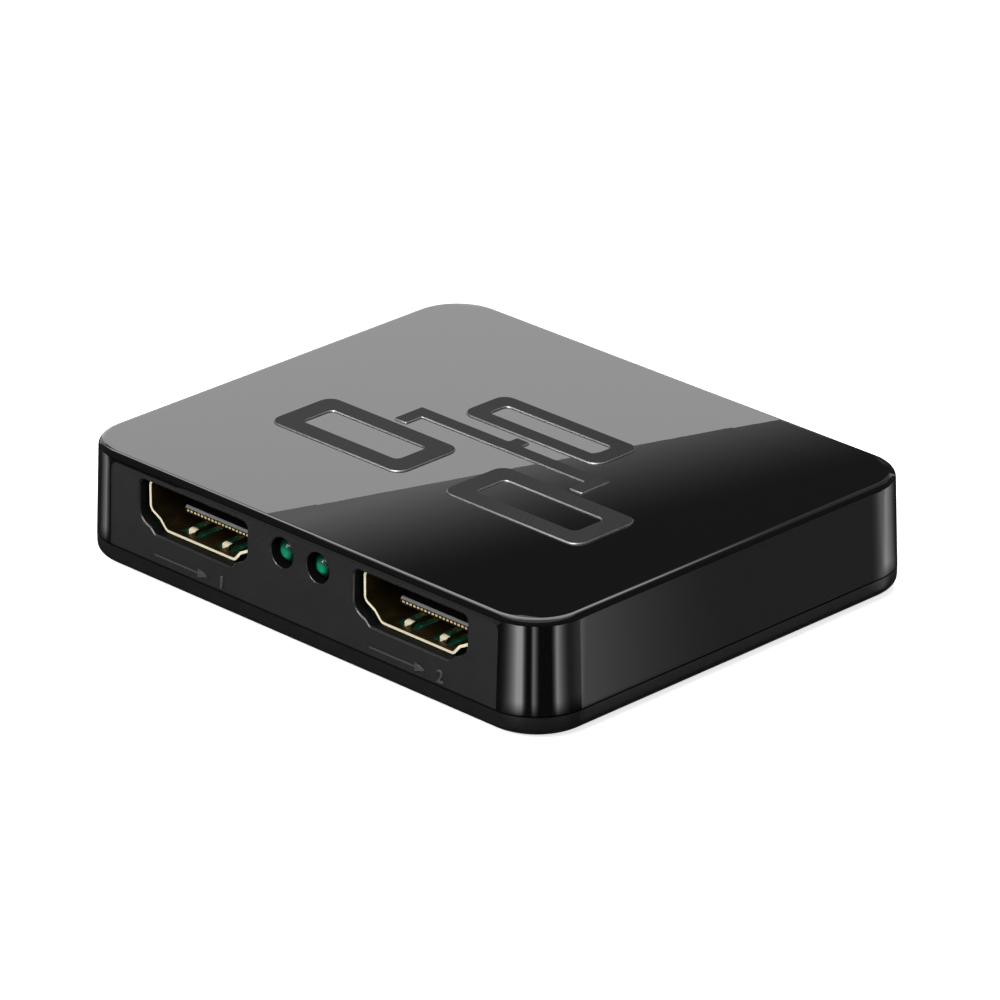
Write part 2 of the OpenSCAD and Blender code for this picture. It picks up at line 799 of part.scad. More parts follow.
module led_1_lens() { color(lamp_green) at_led(1) led_lens(); }
module led_2_lens() { color(lamp_green) at_led(2) led_lens(); }
module led_1_leads() { color(steel) at_led(1) led_leads(); }
module led_2_leads() { color(steel) at_led(2) led_leads(); }

// Green board with the holes for screws, shell legs and lamp leads
module main_board() {
    hole = lead_t + 2 * leg_clear;
    color(board_green)
    difference() {
        rounded_block(board_w, board_d, board_r, board_z, board_top);
        at_screws() translate([0, 0, board_z - past])
            cylinder(d = screw_d + 2 * pass_clear, h = board_t + 2 * past);
        for (k = [1, 2]) {
            at_output(k) shell_legs(leg_clear);
            at_led(k)
                for (s = [-1, 1])
                    translate([s * lead_pitch / 2 - hole / 2, lead_y - hole / 2, -led_z - board_t - past])
                        cube([hole, hole, board_t + 2 * past]);
        }
        at_input() shell_legs(leg_clear);
        at_power() power_legs(leg_clear);
    }
}

// Gull-wing lead in the Y-Z plane: leaves a body's side at y = 0, steps down and ends in a foot
gull_t = 0.15;
gull_reach = 0.3;
gull_step = 0.15;
gull_foot = 0.4;
function gull_path(height) =
    [[0, height], [gull_reach, height], [gull_reach + gull_step, gull_t / 2],
        [gull_reach + gull_step + gull_foot, gull_t / 2]];

// Row of gull-wing leads along one side of a body
module gull_row(count, pitch, width, height) {
    for (i = [0:count - 1])
        across_x((i - (count - 1) / 2) * pitch, width) polygon(strip(gull_path(height), gull_t));
}

// Gap under a chip body, and the dimple that marks its first lead
chip_foot = 0.1;
dimple_d = 0.8;
dimple_in = 1;
dimple_sink = 0.1;
module chip_body(l, w, h) {
    difference() {
        translate([-l / 2, -w / 2, chip_foot]) cube([l, w, h]);
        translate([dimple_in - l / 2, dimple_in - w / 2, chip_foot + h - dimple_sink])
            cylinder(d = dimple_d, h = past);
    }
}

chip_place = [-4, 3, board_top];
chip_pitch = 0.5;
chip_lead_w = 0.22;
module splitter_chip() { color(black) translate(chip_place) chip_body(chip_w, chip_w, chip_h); }

module splitter_chip_leads() {
    color(steel) translate(chip_place)
        for (k = [0:3])
            rotate([0, 0, 90 * k]) translate([0, chip_w / 2, 0])
                gull_row(chip_leads, chip_pitch, chip_lead_w, chip_foot + chip_h / 2);
}

memory_place = [11, 3, board_top];
memory_pitch = 1.27;
memory_leads = 4;
memory_lead_w = 0.4;
module memory_chip() { color(black) translate(memory_place) chip_body(memory_l, memory_w, memory_h); }

module memory_chip_leads() {
    color(steel) translate(memory_place)
        for (k = [0, 1])
            rotate([0, 0, 180 * k]) translate([0, memory_w / 2, 0])
                gull_row(memory_leads, memory_pitch, memory_lead_w, chip_foot + memory_h / 2);
}

// Board's end to the middle of the regulators, and their places along Y
regulator_end = 9.6;
regulator_rear = 6;
regulator_front = -4;
regulator_places = [for (y = [regulator_rear, regulator_front]) [regulator_end - board_w / 2, y, board_top]];
regulator_lead_n = 3;
regulator_pitch = 2.3;
regulator_lead_w = 0.7;
regulator_tab_w = 3;
module regulators() {
    color(black)
    for (p = regulator_places)
        translate(p) translate([-regulator_w / 2, -regulator_d / 2, chip_foot])
            cube([regulator_w, regulator_d, regulator_h]);
}

// Three narrow leads on one side of a regulator and a wide tab on the other
module regulator_leads() {
    color(steel)
    for (p = regulator_places)
        translate(p) {
            translate([0, regulator_d / 2, 0])
                gull_row(1, regulator_pitch, regulator_tab_w, chip_foot + regulator_h / 2);
            rotate([0, 0, 180]) translate([0, regulator_d / 2, 0])
                gull_row(regulator_lead_n, regulator_pitch, regulator_lead_w, chip_foot + regulator_h / 2);
        }
}

// Metal can with a flange round its foot
crystal_place = [11, -4, board_top];
crystal_r = 1.6;
crystal_rim = 0.4;
crystal_rim_t = 0.5;
module crystal() {
    color(steel) translate(crystal_place) {
        rounded_block(crystal_l, crystal_w, crystal_r, 0, crystal_h);
        rounded_block(crystal_l + 2 * crystal_rim, crystal_w + 2 * crystal_rim,
            crystal_r + crystal_rim, 0, crystal_rim_t);
    }
}

// Board's end to the middle of each can, and its place along Y
can_ends = [[9.6, 14], [3.1, 0]];
can_places = [for (p = can_ends) [p[0] - board_w / 2, p[1], board_top]];
can_base_rim = 0.15;
module capacitor_cans() {
    color(steel)
    for (p = can_places)
        translate(p) translate([0, 0, can_base_t]) cylinder(d = can_d, h = can_h - can_base_t);
}

module capacitor_bases() {
    base_w = can_d + 2 * can_base_rim;
    color(black)
    for (p = can_places)
        translate(p) translate([-base_w / 2, -base_w / 2, 0]) cube([base_w, base_w, can_base_t]);
}

// Rows of small chip parts: [first x, y, count, step along x]
capacitor_rows = [[-11, -6.5, 5, 2.6], [-11, 11.5, 5, 2.6]];
resistor_end = 12.6;
resistor_rows = [[board_w / 2 - resistor_end, 3, 4, 2.6], [-11.7, -2, 1, 2.6]];
module at_rows(rows) {
    for (r = rows, i = [0:r[2] - 1])
        translate([r[0] + i * r[3], r[1], board_top]) children();
}

module chip_part() {
    body_l = chip_part_l - 2 * terminal_l;
    translate([-body_l / 2, -chip_part_w / 2, 0]) cube([body_l, chip_part_w, chip_part_h]);
}

module chip_ends() {
    for (s = [-1, 1])
        translate([s * (chip_part_l - terminal_l) / 2 - terminal_l / 2, -chip_part_w / 2, 0])
            cube([terminal_l, chip_part_w, chip_part_h]);
}

module chip_capacitors() { color(ceramic) at_rows(capacitor_rows) chip_part(); }
module chip_resistors() { color(black) at_rows(resistor_rows) chip_part(); }
module chip_terminals() { color(steel) at_rows(concat(capacitor_rows, resistor_rows)) chip_ends(); }

// Surge protection arrays in a row behind each video socket
array_n = 4;
array_gap = 1;
// Gap between the ends of the contact tails and the arrays
array_back = 1;
module array_row() {
    row_y = socket_l + tail_far + tail_foot + array_back;
    for (i = [0:array_n - 1])
        translate([(i - (array_n - 1) / 2) * (array_l + array_gap) - array_l / 2, row_y, 0])
            cube([array_l, array_w, array_h]);
}

module surge_arrays() {
    color(black) {
        for (k = [1, 2]) at_output(k) array_row();
        at_input() array_row();
    }
}

// Fuse on the board, in line behind the power socket
fuse_back = 2;
module power_fuse() {
    color(fuse_green) at_power()
        translate([-fuse_l / 2, power_l + fuse_back, 0]) cube([fuse_l, fuse_w, fuse_h]);
}

top_cover();
base_cover();
case_screws();
main_board();
output_1_shell();
output_1_insulator();
output_1_contacts();
output_2_shell();
output_2_insulator();
output_2_contacts();
input_shell();
input_insulator();
input_contacts();
power_shell();
power_insulator();
power_contacts();
led_1_lens();
led_1_leads();
led_2_lens();
led_2_leads();
splitter_chip();
splitter_chip_leads();
memory_chip();
memory_chip_leads();
regulators();
regulator_leads();
crystal();
capacitor_cans();
capacitor_bases();
chip_capacitors();
chip_resistors();
chip_terminals();
surge_arrays();
power_fuse();
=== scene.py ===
"""Looks of a two-way video splitter box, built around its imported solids."""

import json
import math

import bpy
from mathutils import Matrix, Vector


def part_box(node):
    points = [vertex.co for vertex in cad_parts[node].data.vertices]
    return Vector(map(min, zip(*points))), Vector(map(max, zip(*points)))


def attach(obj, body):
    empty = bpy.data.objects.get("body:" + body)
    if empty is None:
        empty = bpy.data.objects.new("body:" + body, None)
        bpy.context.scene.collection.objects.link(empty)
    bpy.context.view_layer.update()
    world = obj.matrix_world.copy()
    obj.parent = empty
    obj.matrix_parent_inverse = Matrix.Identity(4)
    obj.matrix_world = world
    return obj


MM = 0.001

# Camera, fitted to the corners of the case
IMAGE_PX = 1000
FOCAL_PX = 7143.8
SENSOR_MM = 36
AZIMUTH = math.radians(45)
ELEVATION = math.radians(23.938)
CAMERA_DISTANCE = 707.38 * MM
CAMERA_TARGET = Vector((-1.531, 2.211, 5.961)) * MM

# Edge between the light and the dark reflection on the top, and the dark part's fade, as points on the top
EDGE_ON_TOP = [(13.75, 25.6), (-4.85, -25.4)]
FADE_START_ON_TOP = [(5.7, 12.9), (-1.5, -23.1)]
FADE_END_ON_TOP = (25.6, 12.9)
CARD_DISTANCE = 300 * MM
CARD_REACH = 190 * MM
CARD_HEIGHT = 44 * MM
CARD_LOW = 1 * MM
# The light card stands this far ahead of the fading one
LIGHT_CARD_AHEAD = 2 * MM
# Length of the light card past the top's rear end, and radiance of the dark card beyond
LIGHT_CARD_SPARE = 12 * MM
REAR_DARK = 0.05

# Radiance of the cards and of the world, where a floor of 1 is white
LIGHT_CARD = 2.09
FADE_CARD = 0.76
FADE_LEAST = 0.065
AMBIENT = 0.3

# Lamps: azimuth and elevation in degrees, distance, side of the square, radiance, and whether the polished
# cover mirrors it; the others stand behind the tent
LAMPS = {
    "overhead": (135, 60, 0.663, 0.62, 3.0, True),
    "front_key": (-82, 43, 0.75, 0.4, 9.0, False),
    "front_fill": (-114, 18, 0.75, 0.16, 10.0, False),
}

# Card above the right side that hides the overhead lamp from the rear of the right top edge: bounds in X,
# bounds in Y, height, the Y where it starts and ends to darken, and its radiance
EDGE_SHADE_X = (-60, 60)
EDGE_SHADE_Y = (45, 150)
EDGE_SHADE_Z = 82
EDGE_SHADE_FADE = (50, 74)
EDGE_SHADE = 0.35

# Floor: half its side, its colour, and the light that lifts it to white where it is seen
FLOOR_HALF = 3.0
FLOOR_COLOR = 0.8
FLOOR_LIFT = 0.75

# Dark tent round the object, open behind it, and the dark floor in it
TENT_RADIUS = 450 * MM
TENT_HEIGHT = 520 * MM
TENT_OPEN = (95, 175)
TENT_DARK = 0.1
FLOOR_DARK = 0.03
SKIRT_Z = -0.06 * MM

# Floor card in front, mirrored by the edge above the panel: outline and radiance
EDGE_CARD = [(-39, -47), (6, -47), (16, -66), (-49, -66)]
EDGE_GLOW = 0.32

# Floor card beside the right wall: its ends as places on the wall, reach, even part, and glow that fades out
SIDE_WALL_X = 32.5
SIDE_CARD_ENDS = (-21.0, 30.0)
SIDE_CARD_REACH = (1.5, 45.0)
SIDE_CARD_EVEN = 0.2
SIDE_GLOW = 0.72
SIDE_GLOW_END = 1.0
SIDE_GLOW_NEAR = (4.0, 4.8)
# Rise of the glow at the wall's rear end, the card's fade beyond it, and the slope on the floor of the lines
# that look upright there
REAR_GLOW = 0.95
REAR_GLOW_RISE = (19.4, 21.05)
REAR_GLOW_POWER = 2.5
SIDE_CARD_FALL = (21.6, 26.2)
REAR_SLOPE = 1.08

# Upright highlights on the corners: corner, angles of the wall where one starts, peaks and ends, powers of
# its rise and fall, radiance, and the angle at which it is quite upright
CORNER_AT = (26.65, 21.05)
CORNER_R = 5.65
STRIPS = [
    ((1, -1), (-87, -64, -59.5, -53.5), (3.8, 3), 6.2, -61.75),
    ((1, -1), (-51.5, -48.5, -47.5, -42.5), (2, 2), 2.7, -48),
    ((1, -1), (-32.5, -26, -25, -9), (3, 3), 4.2, -25.5),
    ((1, -1), (-22, -0.5, 0, 0.5), (1.2, 1), 0.45, -0.25),
    ((-1, -1), (-117, -101.5, -100.5, -91), (3, 3), 1.6, -101),
    ((1, 1), (0.5, 6.5, 8, 28.5), (1, 2.4), 2.5, 0),
]
# A strip starts where the cover's lower edge mirrors the floor, and is full a little further out
STRIP_START = 6.3 * MM
STRIP_FULL = 10 * MM
STRIP_LENGTH = 60 * MM

# Diagram on the top, in millimetres: its lines, and half the width and the ends in Y of each box and hole
LINE_HALF = 0.9
LINE_SPLIT_Y = 1.9
LINE_ENDS_Y = (-1.2, 4.0)
LINE_CORNER = 0.25
SCREEN_X = 12.2
SCREEN_BOX = (9.3, -10.4, -1.8)
SCREEN_HOLE = (6.7, -8.1, -4.1)
SOURCE_BOX = (9.5, 4.6, 10.85)
SOURCE_HOLE = (7.3, 6.5, 8.95)
BOX_CORNER = 1.4
HOLE_CORNER = 0.6
# Its foil
GRAPHIC_RISE = 0.05 * MM
GRAPHIC_BEVEL = 0.09 * MM
STREAK_ANGLE = math.radians(30)

# Matt end panels: distance from the middle at the seam, lean and half width
SEAM_Z = 2.35 * MM
PANEL_Y = 26.78 * MM
PANEL_LEAN = math.radians(2.1)
PANEL_HALF = 27.05 * MM
# Openings in the panels: bounds in height, depth of their rounded edges and of their walls
OPENING_Z = (4.5 * MM, 11 * MM)
LIP_DEPTH = 0.21 * MM
MOUTH_DEPTH = 2 * MM
# How far a face's centre may lie from the panel or from a socket's end and count as on it
ON_PANEL = 0.03 * MM
ON_END = 0.02 * MM
# Socket shells: outside height, sheet, bounds of the windows in the floor, and of the painted highlight on
# the spring bumps
SHELL_HEIGHT = 5.11 * MM
SHEET = 0.28 * MM
WINDOW_START = 0.5 * MM
WINDOW_END = 4.2 * MM
WINDOW_REACH = 3.8 * MM
BUMP_HEIGHT = 0.5 * MM
BUMP_END = 1.7 * MM

# Start of the board's dark border, as a distance from the middle
BOARD_BORDER_Y = 24.6 * MM

# Raised marks under the output sockets, in millimetres
MARK_RISE = 0.12
MARK_Z = 3.3
MARK_BEVEL = 0.05
ARROW = [(-5.3, -0.11), (0.9, -0.11), (0.9, -0.5), (2.4, 0), (0.9, 0.5), (0.9, 0.11),
    (-5.3, 0.11)]
DIGIT_SIZE = 1.85
DIGIT_X = 4.3

# Shading of the solids: facets that meet at less than this angle are rounded
SMOOTH_ANGLE = math.radians(32)
WELD_DISTANCE = 0.001 * MM

ONE_FACE = [(0, 1, 2, 3)]


# Shader helpers


class Shader:
    """A node material with a Principled shader, and short ways to add its nodes."""

    def __init__(self, name, color, roughness, **sockets):
        self.material = bpy.data.materials.new(name)
        self.material.use_nodes = True
        self.tree = self.material.node_tree
        self.principled = self.tree.nodes["Principled BSDF"]
        self.set("Base Color", (*color, 1))
        self.set("Roughness", roughness)
        for socket, value in sockets.items():
            self.set(socket.replace("_", " "), value)
        self.place = self.add("ShaderNodeTexCoord").outputs["Object"]

    def set(self, socket, value):
        self.principled.inputs[socket].default_value = value

    def add(self, kind, **values):
        node = self.tree.nodes.new(kind)
        for name, value in values.items():
            setattr(node, name, value)
        return node

    def link(self, output, node, socket):
        self.tree.links.new(output, node.inputs[socket])

    def feed(self, output, socket):
        self.link(output, self.principled, socket)

    def noise(self, per_mm, detail=2.0, stretch=(1, 1, 1), turn=0.0):
        """Noise with a number of grains to the millimetre, drawn out and turned about Z."""
        mapping = self.add("ShaderNodeMapping")
        mapping.vector_type = "TEXTURE"
        mapping.inputs["Rotation"].default_value = (0, 0, turn)
        mapping.inputs["Scale"].default_value = [MM * s / per_mm for s in stretch]
        self.link(self.place, mapping, "Vector")
        noise = self.add("ShaderNodeTexNoise")
        noise.inputs["Scale"].default_value = 1
        noise.inputs["Detail"].default_value = detail
        self.link(mapping.outputs["Vector"], noise, "Vector")
        return noise.outputs["Fac"]

    def spread(self, output, low, high, start=0.3, end=0.7):
        """A value mapped from the middle of its range to low and high."""
        node = self.add("ShaderNodeMapRange")
        for socket, value in (("From Min", start), ("From Max", end), ("To Min", low), ("To Max", high)):
            node.inputs[socket].default_value = value
        self.link(output, node, "Value")
        return node.outputs["Result"]

    def blend(self, factor, first, second):
        """Colour that goes from first to second, each a colour or an output, with a factor."""
        node = self.add("ShaderNodeMix", data_type="RGBA")
        colors = [s for s in node.inputs if s.type == "RGBA"]
        for socket, color in zip(colors, (first, second)):
            if isinstance(color, bpy.types.NodeSocket):
                self.tree.links.new(color, socket)
            else:
                socket.default_value = (*color, 1)
        self.link(factor, node, "Factor")
        return next(s for s in node.outputs if s.type == "RGBA")

    def bump(self, output, depth):
        """Surface raised by a value, up to a depth."""
        node = self.add("ShaderNodeBump")
        node.inputs["Strength"].default_value = 1.0
        node.inputs["Distance"].default_value = depth
        self.link(output, node, "Height")
        self.feed(node.outputs["Normal"], "Normal")
        return node

    def vector(self, operation, first, second=None, result="Vector"):
        """A vector operation on an output, with another output or a constant."""
        node = self.add("ShaderNodeVectorMath", operation=operation)
        self.link(first, node, 0)
        if isinstance(second, tuple):
            node.inputs[1].default_value = second
        elif second:
            self.link(second, node, "Scale" if operation == "SCALE" else 1)
        return node.outputs[result]

    def side_normal(self):
        """Normal that turns evenly round the case's corners, with the lean of the facets."""
        facet = self.add("ShaderNodeNewGeometry").outputs["Normal"]
        corner = (CORNER_AT[0] * MM, CORNER_AT[1] * MM, 1)
        past = self.vector("SUBTRACT", self.vector("ABSOLUTE", self.place), corner)
        past = self.vector("MAXIMUM", past, (0, 0, 0))
        level = self.vector("NORMALIZE", self.vector("MULTIPLY", past, self.vector("SIGN", self.place)))
        share = self.vector("LENGTH", self.vector("MULTIPLY", facet, (1, 1, 0)), result="Value")
        turned = self.vector("ADD", self.vector("SCALE", level, share),
            self.vector("MULTIPLY", facet, (0, 0, 1)))
        alike = self.add("ShaderNodeMath", operation="GREATER_THAN")
        alike.inputs[1].default_value = 0.9
        self.link(self.vector("DOT_PRODUCT", turned, facet, result="Value"), alike, 0)
        change = self.vector("SCALE", self.vector("SUBTRACT", turned, facet), alike.outputs["Value"])
        return self.vector("ADD", facet, change)


def moulded(name, color, rough, grain_per_mm, grain_depth, specular=0.5, on_case=False):
    """Moulded plastic: even colour, a grain in its surface and a roughness that varies a little."""
    shader = Shader(name, color, sum(rough) / 2, Specular_IOR_Level=specular)
    cloud = shader.noise(0.15, detail=3)
    shader.feed(shader.spread(cloud, *rough), "Roughness")
    shade = [c * 1.25 for c in color]
    shader.feed(shader.blend(shader.noise(0.4), color, shade), "Base Color")
    grain = shader.bump(shader.noise(grain_per_mm, detail=3), grain_depth)
    if on_case:
        shader.link(shader.side_normal(), grain, "Normal")
    return shader.material


def plated(name, color, rough, tarnish, grain_per_mm=6, metallic=1.0):
    """Plated metal, with a fine grain and a slight change of tone."""
    shader = Shader(name, color, sum(rough) / 2, Metallic=metallic)
    shader.feed(shader.spread(shader.noise(grain_per_mm, detail=4), *rough), "Roughness")
    shader.feed(shader.blend(shader.noise(0.8, detail=3), color, tarnish), "Base Color")
    shader.bump(shader.noise(2.5), 0.004 * MM)
    return shader.material


def brushed(name, color, edge, rough):
    """Brushed foil with streaks across it, and a painted highlight on its slanted edge."""
    shader = Shader(name, color, sum(rough) / 2, Metallic=1.0, Specular_Tint=(0.65, 0.65, 0.65, 1))
    streak = shader.noise(3.5, detail=5, stretch=(1, 40, 1), turn=STREAK_ANGLE)
    dark = [c * 0.45 for c in color]
    face = shader.blend(shader.spread(streak, 0, 1), dark, color)
    geometry = shader.add("ShaderNodeNewGeometry")
    parts = shader.add("ShaderNodeSeparateXYZ")
    shader.link(geometry.outputs["True Normal"], parts, "Vector")
    slanted = shader.add("ShaderNodeMath", operation="LESS_THAN")
    slanted.inputs[1].default_value = 0.95
    shader.link(parts.outputs["Z"], slanted, 0)
    # Slanted bevel faces take the pale edge colour: a painted highlight.
    shader.feed(shader.blend(slanted.outputs["Value"], face, edge), "Base Color")
    shader.feed(shader.spread(streak, *rough), "Roughness")
    shader.bump(streak, 0.01 * MM)
    return shader.material


def resin(name, deep, bright, flange_mm):
    """Tinted resin of an indicator lamp, with painted light: a painted glow low in its middle that fades
    upwards, and painted shade round its sides.
    """
    shader = Shader(name, bright, 0.22, Specular_IOR_Level=0.45)
    across = shader.add("ShaderNodeTexCoord").outputs["Generated"]
    across = shader.vector("SUBTRACT", across, (0.5, 0.5, 0.5))
    sideways = shader.vector("MULTIPLY", across, (flange_mm, 0, flange_mm))
    radius = shader.vector("LENGTH", sideways, result="Value")
    parts = shader.add("ShaderNodeSeparateXYZ")
    shader.link(across, parts, "Vector")
    # Painted light: the colour is brightest low in the dome and darker towards its top, and the deep colour
    # round the sides is painted shade.
    painted_glow_color = shader.blend(shader.spread(parts.outputs["Z"], 0, 1, start=-0.12, end=0.14), bright,
        [c * 0.3 for c in bright])
    painted_glow_mask = shader.spread(radius, 1, 0, start=0.4, end=0.85)
    shader.feed(shader.blend(painted_glow_mask, deep, painted_glow_color), "Base Color")
    shader.bump(shader.noise(1.5), 0.004 * MM)
    return shader.material


def solder_mask(name, mask, copper, border):
    """Green lacquer over copper traces, which show as paler lines, with a dark border at the ends."""
    shader = Shader(name, mask, 0.3)
    wave = shader.add("ShaderNodeTexWave", wave_type="BANDS", bands_direction="DIAGONAL")
    wave.inputs["Scale"].default_value = 0.35 / MM
    wave.inputs["Distortion"].default_value = 3
    shader.link(shader.place, wave, "Vector")
    trace = shader.spread(wave.outputs["Fac"], 0, 1, start=0.72, end=0.8)
    parts = shader.add("ShaderNodeSeparateXYZ")
    shader.link(shader.vector("ABSOLUTE", shader.place), parts, "Vector")
    outside = shader.add("ShaderNodeMath", operation="GREATER_THAN")
    outside.inputs[1].default_value = BOARD_BORDER_Y
    shader.link(parts.outputs["Y"], outside, 0)
    lacquer = shader.blend(trace, mask, copper)
    shader.feed(shader.blend(outside.outputs["Value"], lacquer, border), "Base Color")
    shader.bump(trace, 0.03 * MM)
    shader.feed(shader.spread(shader.noise(3), 0.2, 0.4), "Roughness")
    return shader.material


def ceramic(name, color):
    shader = Shader(name, color, 0.5)
    shader.feed(shader.blend(shader.noise(5, detail=4), color, [c * 0.7 for c in color]), "Base Color")
    shader.bump(shader.noise(8), 0.01 * MM)
    return shader.material


def emitter(name, strength):
    """Even card: the nodes of an emission material with one strength."""
    material = bpy.data.materials.new(name)
    material.use_nodes = True
    tree = material.node_tree
    tree.nodes.clear()
    emission = tree.nodes.new("ShaderNodeEmission")
    emission.inputs["Strength"].default_value = strength
    output = tree.nodes.new("ShaderNodeOutputMaterial")
    tree.links.new(emission.outputs["Emission"], output.inputs["Surface"])
    return material, tree, emission


def ramp(tree, value, start, end, low, high):
    """A value mapped from start and end to low and high, and held beyond them."""
    node = tree.nodes.new("ShaderNodeMapRange")
    for socket, number in (("From Min", start), ("From Max", end), ("To Min", low), ("To Max", high)):
        node.inputs[socket].default_value = number
    tree.links.new(value, node.inputs["Value"])
    return node.outputs["Result"]


def combine(tree, operation, first, second):
    """A math node on an output, with another output or a number."""
    node = tree.nodes.new("ShaderNodeMath")
    node.operation = operation
    tree.links.new(first, node.inputs[0])
    if isinstance(second, bpy.types.NodeSocket):
        tree.links.new(second, node.inputs[1])
    else:
        node.inputs[1].default_value = second
    return node.outputs["Value"]


def place_in(tree):
    """X, Y and Z of the shaded point, in its object's own frame."""
    parts = tree.nodes.new("ShaderNodeSeparateXYZ")
    tree.links.new(tree.nodes.new("ShaderNodeTexCoord").outputs["Object"], parts.inputs["Vector"])
    return parts.outputs


def show(tree, shader):
    """Links a shader to the material's output."""
    output = next(n for n in tree.nodes if n.type == "OUTPUT_MATERIAL")
    tree.links.new(shader, output.inputs["Surface"])


# Camera


def view_axes():
    """Directions to the camera, to the picture's right and to its top."""
    back = Vector((math.sin(AZIMUTH) * math.cos(ELEVATION), -math.cos(AZIMUTH) * math.cos(ELEVATION),
        math.sin(ELEVATION)))
    right = Vector((math.cos(AZIMUTH), math.sin(AZIMUTH), 0))
    return back, right, back.cross(right)


def add_camera():
    back, right, up = view_axes()
    data = bpy.data.cameras.new("camera")
    data.sensor_width = SENSOR_MM
    data.lens = SENSOR_MM * FOCAL_PX / IMAGE_PX
    data.clip_start = 0.01
    data.clip_end = 20
    camera = bpy.data.objects.new("camera", data)
    turn = Matrix((right, up, back)).transposed()
    camera.matrix_world = Matrix.Translation(CAMERA_TARGET + back * CAMERA_DISTANCE) @ turn.to_4x4()
    bpy.context.scene.collection.objects.link(camera)
    bpy.context.scene.camera = camera
    return camera


# Stage


def add_mesh(name, points, faces, material):
    mesh = bpy.data.meshes.new(name)
    mesh.from_pydata([tuple(p) for p in points], [], faces)
    mesh.update()
    mesh.materials.append(material)
    obj = bpy.data.objects.new(name, mesh)
    bpy.context.scene.collection.objects.link(obj)
    return obj


def hide_from_camera(obj):
    """A card that only reflections see."""
    obj.visible_camera = False
    obj.visible_shadow = False
    obj.visible_diffuse = False


def shown_white(tree):
    """1 for rays that see the white backdrop: camera, glossy and transmission rays."""
    rays = tree.nodes.new("ShaderNodeLightPath").outputs
    seen = combine(tree, "MAXIMUM", rays["Is Camera Ray"], rays["Is Glossy Ray"])
    return combine(tree, "MAXIMUM", seen, rays["Is Transmission Ray"])


def add_floor():
    """Pale floor, lifted to white where it is seen, with the object's shadow left on it."""
    material, tree, emission = emitter("floor_white", 0.0)
    diffuse = tree.nodes.new("ShaderNodeBsdfDiffuse")
    diffuse.inputs["Color"].default_value = (FLOOR_COLOR, FLOOR_COLOR, FLOOR_COLOR, 1)
    add = tree.nodes.new("ShaderNodeAddShader")
    tree.links.new(combine(tree, "MULTIPLY", shown_white(tree), FLOOR_LIFT), emission.inputs["Strength"])
    tree.links.new(diffuse.outputs["BSDF"], add.inputs[0])
    tree.links.new(emission.outputs["Emission"], add.inputs[1])
    show(tree, add.outputs["Shader"])
    points = [(x, y, 2 * SKIRT_Z) for x, y in rectangle(-FLOOR_HALF, -FLOOR_HALF, FLOOR_HALF, FLOOR_HALF)]
    floor = add_mesh("floor", points, ONE_FACE, material)


def add_world():
    world = bpy.data.worlds.new("studio")
    bpy.context.scene.world = world
    world.use_nodes = True
    tree = world.node_tree
    background = tree.nodes["Background"]
    background.inputs["Color"].default_value = (1, 1, 1, 1)
    strength = tree.nodes.new("ShaderNodeMapRange")
    strength.inputs["To Min"].default_value = AMBIENT
    strength.inputs["To Max"].default_value = 1.0
    tree.links.new(shown_white(tree), strength.inputs["Value"])
    tree.links.new(strength.outputs["Result"], background.inputs["Strength"])


def add_lamps():
    """Square lamps that face the object."""
    for name, (azimuth, elevation, distance, side, radiance, mirrored) in LAMPS.items():
        data = bpy.data.lights.new(name, "AREA")
        data.shape = "SQUARE"
        data.size = side
        data.energy = radiance * math.pi * side * side
        data.cycles.use_multiple_importance_sampling = mirrored
        lamp = bpy.data.objects.new(name, data)
        level = math.cos(math.radians(elevation))
        toward = Vector((level * math.cos(math.radians(azimuth)), level * math.sin(math.radians(azimuth)),
            math.sin(math.radians(elevation))))
        lamp.location = toward * distance
        lamp.rotation_euler = (-toward).to_track_quat("-Z", "Y").to_euler()
        lamp.visible_camera = False
        bpy.context.scene.collection.objects.link(lamp)


def add_glow(name, points, faces, radiance, mask=None):
    """Card that adds its light to what lies behind it, as strong as its mask, a node output, says."""
    material, tree, emission = emitter(name, radiance)
    clear = tree.nodes.new("ShaderNodeBsdfTransparent")
    both = tree.nodes.new("ShaderNodeAddShader")
    tree.links.new(clear.outputs["BSDF"], both.inputs[0])
    tree.links.new(emission.outputs["Emission"], both.inputs[1])
    show(tree, both.outputs["Shader"])
    if mask:
        tree.links.new(mask(tree), emission.inputs["Strength"])
    card = add_mesh(name, points, faces, material)
    hide_from_camera(card)
    return card


def add_tent():
    """Dark surroundings that the polished sides mirror."""
    dark = emitter("dark_tent", TENT_DARK)[0]
    start, end = TENT_OPEN[1], TENT_OPEN[0] + 360
    steps = 28
    points = []
    for k in range(steps + 1):
        angle = math.radians(start + (end - start) * k / steps)
        x, y = TENT_RADIUS * math.cos(angle), TENT_RADIUS * math.sin(angle)
        points += [(x, y, SKIRT_Z), (x, y, TENT_HEIGHT)]
    faces = [(2 * k, 2 * k + 2, 2 * k + 3, 2 * k + 1) for k in range(steps)]
    hide_from_camera(add_mesh("tent", points, faces, dark))
    far = TENT_RADIUS
    points = [(x, y, SKIRT_Z) for x, y in rectangle(-far, -far, far, far)]
    hide_from_camera(add_mesh("dark_floor", points, ONE_FACE, emitter("dark_floor", FLOOR_DARK)[0]))


def add_edge_card():
    """Floor card that the edge above the panel mirrors."""
    points = [(x * MM, y * MM, SKIRT_Z / 2) for x, y in EDGE_CARD]
    add_glow("edge_card", points, ONE_FACE, EDGE_GLOW)


